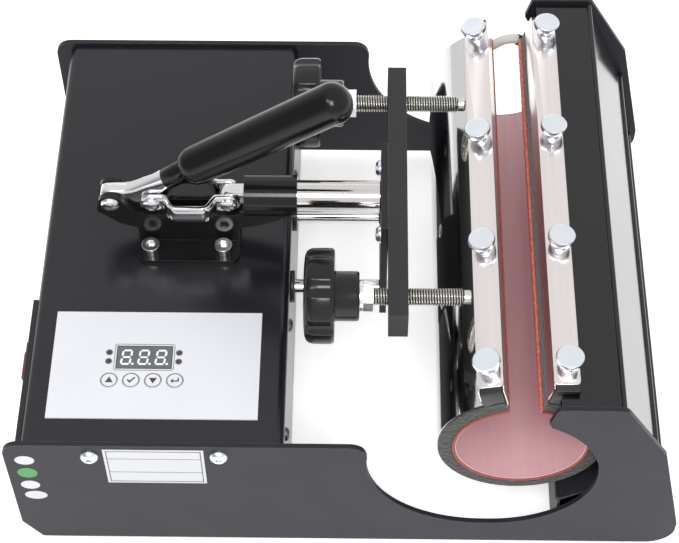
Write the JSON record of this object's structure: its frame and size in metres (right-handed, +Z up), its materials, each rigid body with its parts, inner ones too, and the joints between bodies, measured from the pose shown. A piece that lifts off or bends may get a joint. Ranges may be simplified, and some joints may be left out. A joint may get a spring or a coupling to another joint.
{
  "type": "tumbler heat press",
  "caption": "Lying heat press for mugs and tumblers: a toggle clamp and screws squeeze a slotted, felt-backed heater cuff beside a sloping control box.",
  "frame": {"origin": "centre of the footprint, on the surface that the rubber feet stand on", "axes": "+X from the control box to the heater cuff, +Y along the cuff from the front plate to the rear plate, +Z up"},
  "size_m": [0.3804, 0.3054, 0.2385],
  "materials": {
    "powder_black": "fine textured powder coat",
    "gloss_black": "semi-gloss powder coat",
    "clamp_black": "glossy dipped black",
    "pusher_black": "matt black oxide with milling marks",
    "black_oxide": "black oxide steel",
    "chrome": "bright chrome plate",
    "zinc": "bluish bright zinc plate",
    "thread_steel": "nickel-plated rolled thread",
    "polished_steel": "mirror-polished stainless sheet",
    "felt_grey": "dark grey needled heat felt",
    "silicone_red": "satin silicone rubber with embedded heating wires",
    "grip_vinyl": "glossy dipped vinyl",
    "wheel_phenolic": "glossy moulded phenolic",
    "overlay_white": "satin printed membrane",
    "smoked_window": "smoked glossy window",
    "display_black": "black display body",
    "board_green": "green solder mask",
    "led_grey": "dark diffused lens",
    "relay_white": "moulded relay case",
    "switch_black": "moulded black nylon",
    "switch_red": "translucent red rocker",
    "foot_rubber": "moulded rubber",
    "label_silver": "satin silver plate",
    "sleeve_white": "braided glass-fibre sleeve"
  },
  "bodies": {
    "frame": {"front_plate": "powder_black", "rear_plate": "powder_black", "box_cover": "gloss_black", "box_base": "powder_black", "housing_cover": "gloss_black", "housing_wall": "powder_black", "plate_screws": "zinc", "cover_screws": "black_oxide", "rubber_feet": "foot_rubber", "rating_plate": "label_silver", "control_overlay": "overlay_white", "display_window": "smoked_window", "led_display": "display_black", "controller_board": "board_green", "indicator_leds": "led_grey", "power_relay": "relay_white", "side_panel": "gloss_black", "switch_bezel": "switch_black", "power_inlet": "switch_black", "clamp_base": "clamp_black", "clamp_screws": "chrome", "clamp_nuts": "zinc", "pivot_rivet": "chrome", "guide_bushes": "switch_black", "shell_fixed": "polished_steel", "felt_fixed": "felt_grey", "mat_fixed": "silicone_red", "strip_fixed": "polished_steel", "thumb_screws_fixed": "zinc", "heater_lead": "sleeve_white", "lead_boot": "switch_black"},
    "handle": {"lever_arm": "chrome", "handle_grip": "grip_vinyl", "lever_rivet": "chrome"},
    "links": {"toggle_links": "chrome", "link_rivets": "chrome"},
    "pusher": {"plunger": "chrome", "pusher_plate": "powder_black", "pusher_bar": "pusher_black", "pusher_screws": "zinc", "guide_rods": "chrome"},
    "tip_front": {"thrust_tip_front": "thread_steel"},
    "screw_front": {"pressure_screw_front": "thread_steel", "handwheel_front": "wheel_phenolic", "lock_nut_front": "zinc"},
    "tip_rear": {"thrust_tip_rear": "thread_steel"},
    "screw_rear": {"pressure_screw_rear": "thread_steel", "handwheel_rear": "wheel_phenolic", "lock_nut_rear": "zinc"},
    "cuff_wing": {"shell_moving": "polished_steel", "felt_moving": "felt_grey", "mat_moving": "silicone_red", "strip_moving": "polished_steel", "thumb_screws_moving": "zinc"},
    "rocker": {"power_rocker": "switch_red"},
    "up_key": {"key_up": "overlay_white"},
    "ok_key": {"key_ok": "overlay_white"},
    "down_key": {"key_down": "overlay_white"},
    "enter_key": {"key_enter": "overlay_white"}
  },
  "joints": [
    {"name": "handle_swing", "type": "hinge", "parent": "frame", "child": "handle", "pos_m": [-0.13825, -0.0019, 0.1455], "axis": [0, -1, 0], "range_deg": [0, 105]},
    {"name": "link_swing", "type": "hinge", "parent": "handle", "child": "links", "pos_m": [-0.11475, -0.0019, 0.1455], "axis": [0, -1, 0], "range_deg": [-136, 0]},
    {"name": "pusher_slide", "type": "slide", "parent": "frame", "child": "pusher", "axis": [1, 0, 0], "range_m": [-0.036, 0]},
    {"name": "cuff_flex", "type": "hinge", "parent": "frame", "child": "cuff_wing", "pos_m": [0.09535, -0.0019, 0.05], "axis": [0, -1, 0], "range_deg": [0, 8.1]},
    {"name": "feed_front", "type": "slide", "parent": "pusher", "child": "tip_front", "axis": [1, 0, 0], "range_m": [-0.012, 0]},
    {"name": "spin_front", "type": "hinge", "parent": "tip_front", "child": "screw_front", "pos_m": [0.00975, -0.0721, 0.1455], "axis": [1, 0, 0], "range_deg": [-2881, 0]},
    {"name": "feed_rear", "type": "slide", "parent": "pusher", "child": "tip_rear", "axis": [1, 0, 0], "range_m": [-0.012, 0]},
    {"name": "spin_rear", "type": "hinge", "parent": "tip_rear", "child": "screw_rear", "pos_m": [0.00975, 0.0683, 0.1455], "axis": [1, 0, 0], "range_deg": [-2881, 0]},
    {"name": "power_switch", "type": "hinge", "parent": "frame", "child": "rocker", "pos_m": [-0.18165, -0.0865, 0.084], "axis": [0, 1, 0], "range_deg": [0, 16]},
    {"name": "up_press", "type": "slide", "parent": "frame", "child": "up_key", "axis": [0, 0, -1], "range_m": [0, 0.0004], "stiffness_N_per_m": 400},
    {"name": "ok_press", "type": "slide", "parent": "frame", "child": "ok_key", "axis": [0, 0, -1], "range_m": [0, 0.0004], "stiffness_N_per_m": 400},
    {"name": "down_press", "type": "slide", "parent": "frame", "child": "down_key", "axis": [0, 0, -1], "range_m": [0, 0.0004], "stiffness_N_per_m": 400},
    {"name": "enter_press", "type": "slide", "parent": "frame", "child": "enter_key", "axis": [0, 0, -1], "range_m": [0, 0.0004], "stiffness_N_per_m": 400}
  ],
  "couplings": [
    {"joint": "link_swing", "follows": "handle_swing", "ratio": -1.2921},
    {"joint": "pusher_slide", "follows": "handle_swing", "m_per_rad": -0.019535},
    {"joint": "cuff_flex", "follows": "handle_swing", "ratio": 0.07619},
    {"joint": "spin_front", "follows": "feed_front", "rad_per_m": 4188.8},
    {"joint": "spin_rear", "follows": "feed_rear", "rad_per_m": 4188.8}
  ]
}
